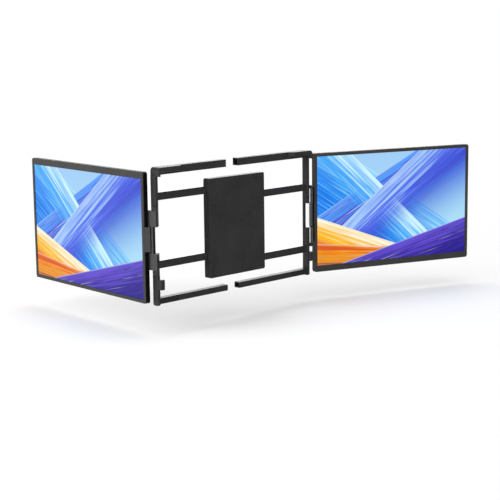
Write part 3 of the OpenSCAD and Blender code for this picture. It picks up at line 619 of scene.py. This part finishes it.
def turned_screw(foot, way, shank, head, thick, length):
    """The rings of one pan-head screw, from its tip to the floor of its cross recess.

    Each ring is foot + way * along + radius(turn) * (cos, sin) of the turn. Circles make the
    chamfered tip, the shank, the head's rim and an elliptic crown; two plus signs end it.
    """
    turn = np.linspace(0.0, 2 * math.pi, SCREW_POINTS, endpoint=False)
    crown = np.linspace(0.0, math.pi / 2, ROUND_STEPS + 1)
    circles = [(TIP_SIZE * shank, 0.0), (shank, TIP_LENGTH * shank), (shank, length - thick),
               (head - RIM_CHAMFER * thick, length - thick),
               (head, length - (1 - RIM_CHAMFER) * thick)]
    circles += zip(head * (CROWN_FLAT + (1 - CROWN_FLAT) * np.cos(crown)),
                   length - CROWN_HIGH * thick * (1 - np.sin(crown)))
    mouth = head * CROSS_REACH * cross(turn)
    rings = [(np.full(turn.size, radius), along) for radius, along in circles]
    rings += [(mouth, length), (CROSS_FLOOR * mouth, length - CROSS_DEEP * thick)]
    across = np.array(Vector(way).orthogonal().normalized())
    beside = np.cross(across, way)
    round_way = np.cos(turn)[:, None] * across + np.sin(turn)[:, None] * beside
    return np.array([foot + way * along + radius[:, None] * round_way for radius, along in rings])


def screws(node, way):
    """Screws that point along way from tip to head, at the places and sizes of a CAD node's.

    Each pass takes one screw: the points that lie within SCREW_APART of the first one left, seen
    along way. Its sizes are the reach of those points along way and from their middle line.
    """
    way = np.array(way)
    points = points_of(node)
    build = bmesh.new()
    while len(points):
        flat = points - np.outer(points @ way, way)
        mine = np.linalg.norm(flat - flat[0], axis=1) < SCREW_APART
        one, flat = points[mine], flat[mine]
        axis = (flat.min(0) + flat.max(0)) / 2
        along, radius = one @ way, np.linalg.norm(flat - axis, axis=1)
        low, high, head = along.min(), along.max(), radius.max()
        shank = radius[along < low + TIP_BAND].max()
        thick = high - along[radius > (shank + head) / 2].min()
        rings = turned_screw(axis + way * low, way, shank, head, thick, high - low)
        screw = rings_to_mesh(node + "_one", rings, Matrix.Identity(4))
        build.from_mesh(screw)
        bpy.data.meshes.remove(screw)
        points = points[~mine]
    mesh = bpy.data.meshes.new(node + "_turned")
    build.to_mesh(mesh)
    build.free()
    return mesh


for node_name, node_object in NODES.items():
    paint(node_object, node_name)
for side in SIDES:
    as_piece(lit_glass(side), side + "_lcd_glass")
    as_piece(frame_ring(side), side + "_front_frame")
    as_piece(screws(side + "_bar_screws", (0.0, 1.0, 0.0)), side + "_bar_screws")
    as_piece(screws(side + "_leaf_screws", own_axes(side)[1]), side + "_leaf_screws")
    for part, round_by in SIDE_ROUNDS.items():
        softened(f"{side}_{part}", round_by * MM)
as_piece(screws("housing_screws", (0.0, 1.0, 0.0)), "housing_screws")
for part, round_by in COVER_ROUNDS.items():
    softened(part, round_by * MM, outside_only=True)
for part, round_by in STAND_ROUNDS.items():
    softened(part, round_by * MM)


# ---- camera, lights and room ----

def camera():
    """A camera turned by roll, then pitch, then heading."""
    heading = math.radians(CAMERA_HEADING)
    pitch = math.radians(CAMERA_PITCH)
    roll = math.radians(CAMERA_ROLL)
    data = bpy.data.cameras.new("camera")
    data.lens = CAMERA_LENS
    data.sensor_width = CAMERA_SENSOR
    thing = bpy.data.objects.new("camera", data)
    turn = (Matrix.Rotation(heading - math.pi / 2, 4, "Z")
            @ Matrix.Rotation(math.pi / 2 + pitch, 4, "X")
            @ Matrix.Rotation(roll, 4, "Z"))
    thing.matrix_world = Matrix.Translation(CAMERA_PLACE) @ turn
    bpy.context.scene.collection.objects.link(thing)
    bpy.context.scene.camera = thing


def soft_box(name, place, width, power):
    """A square lamp that faces the origin."""
    data = bpy.data.lights.new(name, "AREA")
    data.size = width
    data.energy = power
    thing = bpy.data.objects.new(name, data)
    aim = (-Vector(place)).to_track_quat("-Z", "Y").to_matrix().to_4x4()
    thing.matrix_world = Matrix.Translation(place) @ aim
    bpy.context.scene.collection.objects.link(thing)


def room_light():
    """A white surround. Gloss sees it round the horizon, with a black card and a lit backdrop."""
    tree = Tree("room", world=True)
    way = tree.add("ShaderNodeTexCoord").outputs["Generated"]
    axes = tree.add("ShaderNodeSeparateXYZ")
    tree.plug(way, axes.inputs[0])

    def around(middle, edge, outside, inside):
        """outside..inside by the cosine of a direction's angle from the middle one."""
        toward = tree.add("ShaderNodeVectorMath", operation="DOT_PRODUCT")
        tree.plug(way, toward.inputs[0])
        toward.inputs[1].default_value = middle
        return tree.spread(toward.outputs["Value"], *edge, outside, inside, smooth=True)

    card = around(CARD_WAY, CARD_EDGE, 1.0, DARK_LEVEL)
    sky = tree.spread(axes.outputs[2], *SKY_EDGE, 1.0, DARK_LEVEL, smooth=True)
    backdrop = around(BACKDROP_WAY, BACKDROP_EDGE, 0.0, BACKDROP_LEVEL)
    shine = tree.math("MAXIMUM", tree.math("MULTIPLY", card, sky), backdrop)
    path = tree.add("ShaderNodeLightPath")
    gloss = tree.math("MAXIMUM", path.outputs["Is Glossy Ray"], path.outputs["Is Transmission Ray"])
    more = tree.math("SUBTRACT", shine, WORLD_LEVEL)
    lit = tree.math("MULTIPLY_ADD", gloss, more, WORLD_LEVEL)
    back = tree.add("ShaderNodeBackground")
    back.inputs["Color"].default_value = (1, 1, 1, 1)
    tree.plug(tree.math("MAXIMUM", path.outputs["Is Camera Ray"], lit), back.inputs["Strength"])
    bpy.context.scene.world = tree.finish(back.outputs[0])


def pale_floor():
    """A finish that shows the object's shadow and, to the camera, runs out to white far away."""
    tree = Tree("pale_floor")
    at = tree.place()
    matt = tree.add("ShaderNodeBsdfDiffuse")
    tree.plug(tree.ramp(tree.noise(at, FLOOR_SCALE), FLOOR_TONES), matt.inputs["Color"])
    white = tree.add("ShaderNodeEmission")
    far = tree.add("ShaderNodeVectorMath", operation="LENGTH")
    tree.plug(at, far.inputs[0])
    fade = tree.math("MULTIPLY", tree.spread(far.outputs["Value"], *FLOOR_FADE, smooth=True),
                     tree.add("ShaderNodeLightPath").outputs["Is Camera Ray"])
    mix = tree.add("ShaderNodeMixShader")
    for value, socket in zip((fade, matt.outputs[0], white.outputs[0]), mix.inputs):
        tree.plug(value, socket)
    return tree.finish(mix.outputs[0])


def floor():
    """One flat square that gloss doesn't see."""
    corners = [(x * FLOOR_HALF, y * FLOOR_HALF, FLOOR_Z)
               for x, y in ((-1, -1), (1, -1), (1, 1), (-1, 1))]
    mesh = bpy.data.meshes.new("floor")
    mesh.from_pydata(corners, [], [(0, 1, 2, 3)])
    mesh.materials.append(pale_floor())
    thing = bpy.data.objects.new("floor", mesh)
    bpy.context.scene.collection.objects.link(thing)
    thing.visible_glossy = False


camera()
room_light()
floor()
for box_name, (place, width, power) in SOFT_BOXES.items():
    soft_box(box_name, place, width, power)
bpy.context.scene.view_settings.view_transform = "Standard"
